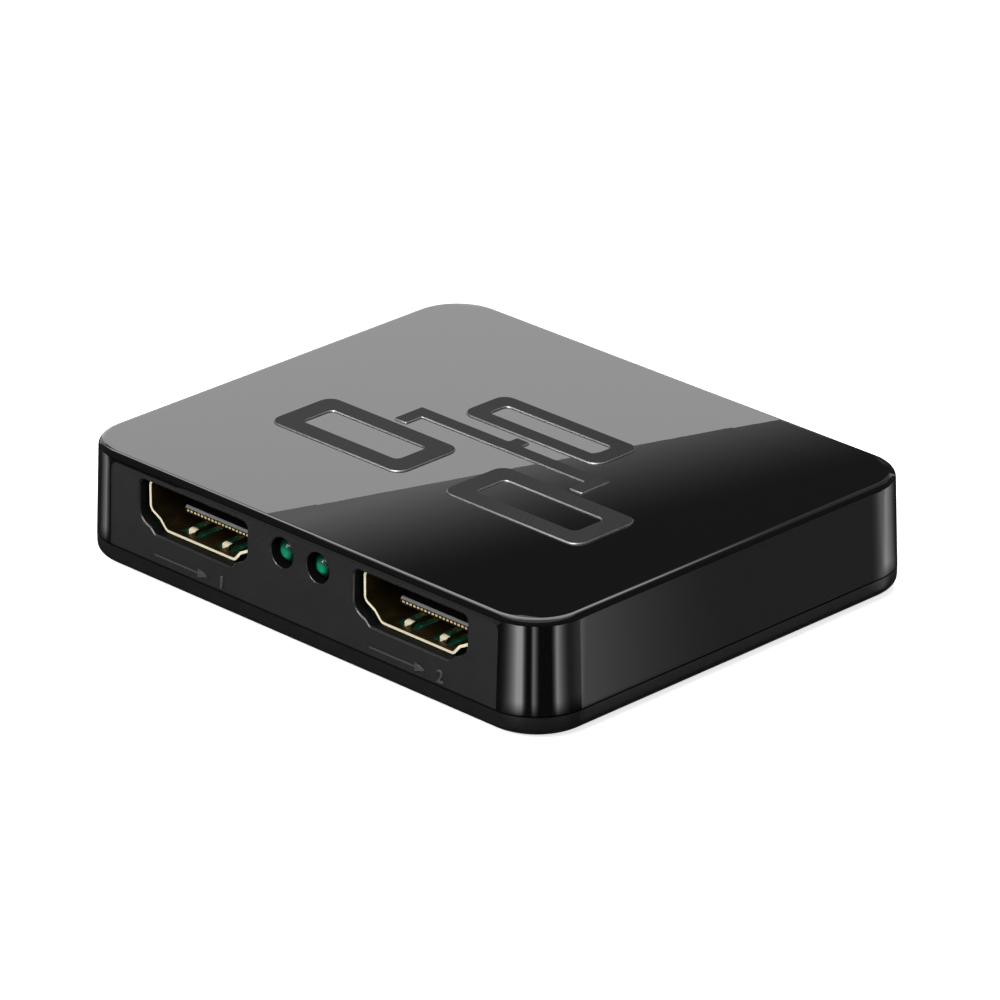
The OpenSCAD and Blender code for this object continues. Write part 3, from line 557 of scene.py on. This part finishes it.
def add_edge_shade():
    """Card that darkens along Y, clear at its front end."""
    material, tree, emission = emitter("edge_shade", EDGE_SHADE)
    clear = tree.nodes.new("ShaderNodeBsdfTransparent")
    mix = tree.nodes.new("ShaderNodeMixShader")
    start, end = (v * MM for v in EDGE_SHADE_FADE)
    tree.links.new(ramp(tree, place_in(tree)["Y"], start, end, 0, 1), mix.inputs["Fac"])
    tree.links.new(clear.outputs["BSDF"], mix.inputs[1])
    tree.links.new(emission.outputs["Emission"], mix.inputs[2])
    show(tree, mix.outputs["Shader"])
    outline = rectangle(EDGE_SHADE_X[0], EDGE_SHADE_Y[0], EDGE_SHADE_X[1], EDGE_SHADE_Y[1])
    points = [(x * MM, y * MM, EDGE_SHADE_Z * MM) for x, y in outline]
    hide_from_camera(add_mesh("edge_shade", points, ONE_FACE, material))


def add_side_card():
    """Floor card that the right wall mirrors, with a glow at each end of the wall."""
    near, far = SIDE_CARD_REACH
    first, last = SIDE_CARD_ENDS
    corners = [(near, first), (far, first), (far, last), (near, last)]
    points = [((SIDE_WALL_X + out) * MM, (along + out) * MM, SKIRT_Z / 2) for out, along in corners]

    def fade(tree):
        place = place_in(tree)
        along = combine(tree, "SUBTRACT", place["Y"], place["X"])
        start, end = (first - SIDE_WALL_X) * MM, (SIDE_GLOW_END - SIDE_WALL_X) * MM
        glow = combine(tree, "POWER", ramp(tree, along, start, end, 1, 0), 2)
        start, end = ((SIDE_WALL_X + v) * MM for v in SIDE_GLOW_NEAR)
        out = ramp(tree, place["X"], start, end, 0, SIDE_GLOW)
        even = combine(tree, "ADD", combine(tree, "MULTIPLY", glow, out), SIDE_CARD_EVEN)
        slanted = combine(tree, "MULTIPLY", place["X"], -REAR_SLOPE)
        behind = combine(tree, "ADD", slanted, place["Y"])
        start, end = ((v - REAR_SLOPE * SIDE_WALL_X) * MM for v in REAR_GLOW_RISE)
        rear = combine(tree, "POWER", ramp(tree, behind, start, end, 0, 1), REAR_GLOW_POWER)
        both = combine(tree, "ADD", combine(tree, "MULTIPLY", rear, REAR_GLOW), even)
        start, end = ((v - REAR_SLOPE * SIDE_WALL_X) * MM for v in SIDE_CARD_FALL)
        return combine(tree, "MULTIPLY", both, ramp(tree, behind, start, end, 1, 0))

    add_glow("side_card", points, ONE_FACE, 0.0, fade)


def add_strips():
    """Sectors of light on the floor, each mirrored as an upright highlight by a rounded corner."""
    view = AZIMUTH - math.radians(90)
    for number, (corner, angles, powers, radiance, upright) in enumerate(STRIPS):
        walls = [math.radians(a) for a in angles]
        middle = math.radians(upright)
        heading = 2 * middle - view
        reach = CORNER_R * math.cos(middle - view) / 2
        x = corner[0] * CORNER_AT[0] + CORNER_R * math.cos(middle) - reach * math.cos(heading)
        y = corner[1] * CORNER_AT[1] + CORNER_R * math.sin(middle) - reach * math.sin(heading)
        start, rise, fall, end = (2 * (a - middle) for a in walls)
        inner, full = reach * MM + STRIP_START, reach * MM + STRIP_FULL

        def band(tree):
            place = tree.nodes.new("ShaderNodeTexCoord").outputs["Object"]
            gradient = tree.nodes.new("ShaderNodeTexGradient")
            gradient.gradient_type = "RADIAL"
            tree.links.new(place, gradient.inputs["Vector"])
            turn = gradient.outputs["Fac"]
            up = ramp(tree, turn, 0.5 + start / math.tau, 0.5 + rise / math.tau, 0, 1)
            down = ramp(tree, turn, 0.5 + fall / math.tau, 0.5 + end / math.tau, 1, 0)
            both = combine(tree, "MULTIPLY", combine(tree, "POWER", up, powers[0]),
                combine(tree, "POWER", down, powers[1]))
            distance = tree.nodes.new("ShaderNodeVectorMath")
            distance.operation = "LENGTH"
            tree.links.new(place, distance.inputs[0])
            out = ramp(tree, distance.outputs["Value"], inner, full, 0, radiance)
            return combine(tree, "MULTIPLY", both, out)

        steps = 8
        points = []
        for k in range(steps + 1):
            angle = start + (end - start) * k / steps
            for radius in (inner, STRIP_LENGTH):
                points.append((radius * math.cos(angle), radius * math.sin(angle), 0))
        faces = [(2 * k, 2 * k + 1, 2 * k + 3, 2 * k + 2) for k in range(steps)]
        card = add_glow(f"corner_strip_{number + 1}", points, faces, 0.0, band)
        lift = SKIRT_Z * (0.4 - 0.05 * number)
        card.matrix_world = Matrix.Translation((x * MM, y * MM, lift)) @ Matrix.Rotation(heading, 4, "Z")


def add_cards(camera, top_z):
    """Cards behind the object that the top mirrors: a light one, a dark one beside it, and a fading one."""
    away = Vector((-math.sin(AZIMUTH), math.cos(AZIMUTH), 0))
    eye = camera.matrix_world.translation
    mirrored = Vector((eye.x, eye.y, 2 * top_z - eye.z))

    def on_card(point, distance):
        through = Vector((point[0] * MM, point[1] * MM, top_z)) - mirrored
        return mirrored + through * ((distance - mirrored.dot(away)) / through.dot(away))

    near = CARD_DISTANCE - LIGHT_CARD_AHEAD
    first, second = (on_card(p, near) for p in EDGE_ON_TOP)
    along = (second - first).normalized()
    left = first + along * CARD_REACH
    far = first - along * CARD_REACH
    stop = first - along * LIGHT_CARD_SPARE
    cards = (("light_card", left, stop, LIGHT_CARD), ("rear_card", stop, far, REAR_DARK))
    for name, start, end, radiance in cards:
        points = [start, end, (end.x, end.y, CARD_LOW), (start.x, start.y, CARD_LOW)]
        hide_from_camera(add_mesh(name, points, ONE_FACE, emitter(name, radiance)[0]))

    start, other = (on_card(p, CARD_DISTANCE) for p in FADE_START_ON_TOP)
    end = on_card(FADE_END_ON_TOP, CARD_DISTANCE)
    level = (other - start).normalized()
    climb = away.cross(level).normalized()
    if climb.z < 0:
        climb = -climb
    length = (end - start).dot(climb)
    material, tree, emission = emitter("fading_card", 0.0)
    fade = combine(tree, "POWER", ramp(tree, place_in(tree)["Y"], 0, length, 1, 0), 2)
    glow = ramp(tree, fade, 0, 1, FADE_LEAST * FADE_CARD, FADE_CARD)
    tree.links.new(glow, emission.inputs["Strength"])
    points = [(x, y, 0) for x, y in rectangle(-CARD_REACH, -CARD_HEIGHT, CARD_REACH, CARD_HEIGHT)]
    card = add_mesh("fading_card", points, ONE_FACE, material)
    turn = Matrix((level, climb, level.cross(climb))).transposed()
    card.matrix_world = Matrix.Translation(start) @ turn.to_4x4()
    hide_from_camera(card)


# Solids


def smooth(obj):
    """Rounds the shading of the solid's facets, with flat faces kept flat and true edges kept sharp."""
    if "custom_normal" in obj.data.attributes:
        obj.data.attributes.remove(obj.data.attributes["custom_normal"])
    for polygon in obj.data.polygons:
        polygon.use_smooth = True
    weld = obj.modifiers.new("weld", "WELD")
    weld.merge_threshold = WELD_DISTANCE
    split = obj.modifiers.new("split", "EDGE_SPLIT")
    split.split_angle = SMOOTH_ANGLE
    split.use_edge_sharp = False
    normals = obj.modifiers.new("normals", "WEIGHTED_NORMAL")
    normals.keep_sharp = True


def box_of(obj):
    """Lowest and highest corner of a solid, in the frame."""
    corners = [obj.matrix_world @ Vector(c) for c in obj.bound_box]
    return [Vector(pick(c[i] for c in corners) for i in range(3)) for pick in (min, max)]


def dress(obj, *materials):
    obj.data.materials.clear()
    for material in materials:
        obj.data.materials.append(material)


def pick_faces(obj, index, test):
    """Gives a material index to the faces whose centre and normal pass a test."""
    for polygon in obj.data.polygons:
        if test(polygon.center, polygon.normal):
            polygon.material_index = index


def panel_y(z):
    """Distance of an end panel's face from the middle, at a height."""
    return PANEL_Y - math.tan(PANEL_LEAN) * (z - SEAM_Z)


def dress_cover(cover, panel, lip, opening_shade):
    """Matt end panels, satin edges of the openings in them, and walls in the openings painted darker than
    the panel, a painted shade.
    """
    dress(cover, cover.data.materials[0], panel, lip, opening_shade)

    def depth(centre):
        return panel_y(centre.z) - abs(centre.y)

    def on_end(centre):
        return abs(centre.x) < PANEL_HALF - MM and OPENING_Z[0] < centre.z < OPENING_Z[1]

    def on_panel(centre, normal):
        return abs(depth(centre)) < ON_PANEL and abs(centre.x) < PANEL_HALF and abs(normal.y) > 0.99

    # Walls in the openings take the darker black, a painted shade.
    pick_faces(cover, 3, lambda centre, normal: 0 < depth(centre) < MOUTH_DEPTH and on_end(centre))
    pick_faces(cover, 2, lambda centre, normal: 0 < depth(centre) < LIP_DEPTH and on_end(centre))
    pick_faces(cover, 1, on_panel)


def mouth_depth(obj):
    """Function that gives a point's distance behind the outer end of a socket's solid."""
    low, high = box_of(obj)
    end = max(abs(low.y), abs(high.y))
    return lambda point: end - abs(point.y)


def dress_shell(shell, rim, edge):
    """Painted highlight on a shell's rim and on the front of its spring bumps, and painted glints on its
    window edges; its other faces keep the painted shade it was dressed in.
    """
    low, high = box_of(shell)
    middle = (low.x + high.x) / 2
    floor = high.z - SHELL_HEIGHT + SHEET
    depth = mouth_depth(shell)
    for material in (rim, edge):
        shell.data.materials.append(material)

    def in_windows(centre):
        return WINDOW_START < depth(centre) < WINDOW_END and abs(centre.x - middle) < WINDOW_REACH

    # The rim and the bumps' fronts take the painted highlight, the window edges the painted glint.
    pick_faces(shell, 1, lambda centre, normal: depth(centre) < ON_END)
    pick_faces(shell, 2, lambda centre, normal: in_windows(centre) and abs(normal.z) < 0.3
        and floor - SHEET < centre.z < floor)
    pick_faces(shell, 1, lambda centre, normal: in_windows(centre) and abs(normal.x) < 0.5
        and depth(centre) < BUMP_END and floor < centre.z < floor + BUMP_HEIGHT)


def dress_ends(solid, bright):
    """Painted highlight on a solid's outer ends, as a second, brighter material; its other faces keep their
    own, which on the contacts is painted shade.
    """
    depth = mouth_depth(solid)
    solid.data.materials.append(bright)
    pick_faces(solid, 1, lambda centre, normal: depth(centre) < ON_END)


def dress_solids(nodes):
    gloss = moulded("gloss_black", (0.0018, 0.0018, 0.002), (0.001, 0.003), 0.3, 0.0002 * MM, on_case=True)
    panel = moulded("matt_black", (0.0155, 0.0155, 0.0158), (0.42, 0.5), 9, 0.012 * MM, specular=0.08)
    base = moulded("satin_black", (0.0075, 0.0075, 0.008), (0.26, 0.34), 7, 0.006 * MM, 0.4, on_case=True)
    lip = moulded("lip_black", (0.006, 0.006, 0.006), (0.28, 0.34), 12, 0.002 * MM, specular=1.0)
    # Darker copy of the matt panel black for the walls in the openings: painted shade.
    opening_shade = moulded("opening_painted_shade", (0.003, 0.003, 0.003), (0.5, 0.6), 12, 0.006 * MM, specular=0.08)
    black = moulded("socket_black", (0.006, 0.006, 0.006), (0.4, 0.5), 12, 0.006 * MM, specular=0.25)
    # Pale grey for the tongue's slanted front edge: a painted highlight on black plastic.
    tongue_glint = moulded("tongue_painted_highlight", (0.2, 0.2, 0.205), (0.35, 0.45), 12, 0.006 * MM)
    epoxy = moulded("chip_black", (0.018, 0.018, 0.019), (0.45, 0.6), 10, 0.012 * MM)
    fuse = moulded("fuse_green", (0.03, 0.16, 0.07), (0.45, 0.55), 8, 0.01 * MM)
    gold = plated("gold_plate", (0.93, 0.8, 0.52), (0.3, 0.4), (0.88, 0.72, 0.42))
    # Copies of the plating that paint light: a painted highlight on socket rims, bump fronts, contact ends
    # and the power socket's end, painted glints on window edges, and a dark copy that paints the shade
    # inside the sockets.
    rim = plated("gold_painted_highlight", (1.0, 0.93, 0.68), (0.3, 0.4), (0.98, 0.88, 0.6), metallic=0.25)
    tip_highlight_gold = plated("contact_tip_painted_highlight", (1.0, 0.82, 0.4), (0.3, 0.4), (0.95, 0.75, 0.34), metallic=0.25)
    tin_painted_highlight = plated("tin_painted_highlight", (0.8, 0.8, 0.82), (0.3, 0.4), (0.7, 0.7, 0.72), metallic=0.25)
    glint_gold = plated("gold_painted_glint", (0.6, 0.47, 0.25), (0.25, 0.35), (0.5, 0.38, 0.2))
    shade = plated("gold_painted_shade", (0.16, 0.11, 0.05), (0.35, 0.5), (0.1, 0.065, 0.03))
    tin = plated("tin_plate", (0.72, 0.72, 0.74), (0.2, 0.35), (0.6, 0.6, 0.62))
    zinc = plated("dark_zinc", (0.3, 0.3, 0.31), (0.28, 0.42), (0.22, 0.22, 0.23))
    can = plated("drawn_can", (0.75, 0.75, 0.77), (0.22, 0.34), (0.65, 0.65, 0.66), grain_per_mm=3)
    # The lens's deep colour is painted shade and its bright colour a painted glow.
    lens = resin("lamp_resin", (0.0, 0.014, 0.008), (0.0, 0.27, 0.125), 3.8)
    mask = solder_mask("green_mask", (0.0, 0.055, 0.038), (0.005, 0.09, 0.055), (0.006, 0.006, 0.005))
    tan = ceramic("tan_ceramic", (0.42, 0.3, 0.18))
    by_slot = {"gloss_case": gloss, "base_case": base, "gold_plate": gold, "tin_plate": tin,
        "screw_steel": zinc, "socket_insulator": black, "board_mask": mask, "lamp_lens": lens,
        "chip_body": epoxy, "can_metal": can, "ceramic_body": tan, "fuse_body": fuse}
    for subpart in frame["record"]["subparts"]:
        obj = nodes[subpart["node"]]
        dress(obj, by_slot[subpart["material_slot"]])
        smooth(obj)
    dress_cover(nodes["top_cover"], panel, lip, opening_shade)
    dress_ends(nodes["power_shell"], tin_painted_highlight)
    for name in ("output_1", "output_2", "input"):
        # Shells and contacts are dressed in the dark gold copy, a painted shade, and then get painted
        # highlights.
        for part in ("_shell", "_contacts"):
            dress(nodes[name + part], shade)
        dress_shell(nodes[name + "_shell"], rim, glint_gold)
        dress_ends(nodes[name + "_contacts"], tip_highlight_gold)
        tongue = nodes[name + "_insulator"]
        tongue.data.materials.append(tongue_glint)
        # The tongue's slanted upper front faces take the pale grey, a painted highlight.
        pick_faces(tongue, 1, lambda centre, normal: 0.6 < normal.z < 0.8 and abs(normal.y) > 0.6)


# Graphic and marks


def arc_corners(corners, radius, steps=6):
    """Closed outline with each corner rounded."""
    points = []
    count = len(corners)
    for i, corner in enumerate(corners):
        here = Vector(corner)
        before = (Vector(corners[i - 1]) - here).normalized()
        after = (Vector(corners[(i + 1) % count]) - here).normalized()
        half = before.angle(after) / 2
        centre = here + (before + after).normalized() * radius / math.sin(half)
        start = here + before * radius / math.tan(half) - centre
        end = here + after * radius / math.tan(half) - centre
        turn = start.angle_signed(end)
        for k in range(steps + 1):
            spoke = start.copy()
            spoke.rotate(Matrix.Rotation(-turn * k / steps, 2))
            points.append(centre + spoke)
    return points


def add_plate(name, outlines, rise, bevel, material):
    """Thin plate with slanted edges from closed outlines in millimetres; an inner outline is a hole."""
    curve = bpy.data.curves.new(name, "CURVE")
    curve.dimensions = "2D"
    curve.fill_mode = "BOTH"
    curve.extrude = rise
    curve.bevel_depth = bevel
    curve.bevel_resolution = 0
    curve.offset = -bevel
    for outline in outlines:
        spline = curve.splines.new("POLY")
        spline.points.add(len(outline) - 1)
        for point, place in zip(spline.points, outline):
            point.co = (place[0] * MM, place[1] * MM, 0, 1)
        spline.use_cyclic_u = True
    curve.materials.append(material)
    obj = bpy.data.objects.new(name, curve)
    bpy.context.scene.collection.objects.link(obj)
    return obj


def rectangle(x0, y0, x1, y1):
    return [(x0, y0), (x1, y0), (x1, y1), (x0, y1)]


def framed_box(x, box, hole):
    """Rounded outlines of a box about x and of the hole in it."""
    outlines = []
    for (half, low, high), radius in ((box, BOX_CORNER), (hole, HOLE_CORNER)):
        outlines.append(arc_corners(rectangle(x - half, low, x + half, high), radius))
    return outlines


def add_graphic(top_z):
    """Diagram of one source joined to two screens, in brushed foil on the top."""
    # The foil's pale edge colour is a painted highlight on its bevels.
    foil = brushed("brushed_foil", (0.02, 0.02, 0.02), (0.4, 0.4, 0.4), (0.38, 0.55))
    foot, neck = LINE_ENDS_Y
    below, above = LINE_SPLIT_Y - LINE_HALF, LINE_SPLIT_Y + LINE_HALF
    inner, outer = SCREEN_X - LINE_HALF, SCREEN_X + LINE_HALF
    lines = [(-outer, foot), (-outer, above), (-LINE_HALF, above), (-LINE_HALF, neck), (LINE_HALF, neck),
        (LINE_HALF, above), (outer, above), (outer, foot), (inner, foot), (inner, below), (-inner, below),
        (-inner, foot)]
    screens = [outline for x in (-SCREEN_X, SCREEN_X) for outline in framed_box(x, SCREEN_BOX, SCREEN_HOLE)]
    plates = {
        "source_box": framed_box(0, SOURCE_BOX, SOURCE_HOLE),
        "split_line": [arc_corners(lines, LINE_CORNER)],
        "screens": screens,
    }
    for name, outlines in plates.items():
        plate = add_plate(name, outlines, GRAPHIC_RISE, GRAPHIC_BEVEL, foil)
        plate.location = (0, 0, top_z)
        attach(plate, "root")


def add_marks():
    """Raised arrow and number under each output socket."""
    black = moulded("mark_black", (0.045, 0.045, 0.046), (0.2, 0.28), 9, 0.004 * MM)
    z = MARK_Z * MM
    turn = Matrix.Rotation(math.radians(90) - PANEL_LEAN, 4, "X")
    for number in (1, 2):
        low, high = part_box(f"output_{number}_shell")
        x = (low.x + high.x) / 2
        pointer = add_plate(f"output_{number}_arrow", [ARROW], MARK_RISE * MM, MARK_BEVEL * MM, black)
        pointer.matrix_world = Matrix.Translation((x, -panel_y(z), z)) @ turn
        text = bpy.data.curves.new(f"output_{number}_number", "FONT")
        text.body = str(number)
        text.align_x = "CENTER"
        text.align_y = "CENTER"
        text.size = DIGIT_SIZE * MM
        text.extrude = MARK_RISE * MM
        text.bevel_depth = MARK_BEVEL * MM
        text.bevel_resolution = 0
        text.materials.append(black)
        digit = bpy.data.objects.new(f"output_{number}_number", text)
        bpy.context.scene.collection.objects.link(digit)
        digit.matrix_world = Matrix.Translation((x + DIGIT_X * MM, -panel_y(z), z)) @ turn
        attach(pointer, "root")
        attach(digit, "root")


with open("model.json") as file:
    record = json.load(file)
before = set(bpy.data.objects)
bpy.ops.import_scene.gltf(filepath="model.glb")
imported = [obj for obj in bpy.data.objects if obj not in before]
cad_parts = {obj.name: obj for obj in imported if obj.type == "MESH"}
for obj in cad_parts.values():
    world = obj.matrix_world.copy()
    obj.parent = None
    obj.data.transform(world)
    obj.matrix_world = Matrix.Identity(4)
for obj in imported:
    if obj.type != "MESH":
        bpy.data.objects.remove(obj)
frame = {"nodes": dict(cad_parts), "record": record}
bpy.context.view_layer.update()
bpy.context.scene.view_settings.view_transform = "Standard"
camera = add_camera()
add_world()
add_floor()
top_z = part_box("top_cover")[1].z
add_cards(camera, top_z)
add_tent()
add_edge_card()
add_edge_shade()
add_side_card()
add_strips()
add_lamps()
dress_solids(frame["nodes"])
add_graphic(top_z)
add_marks()
bpy.context.view_layer.update()
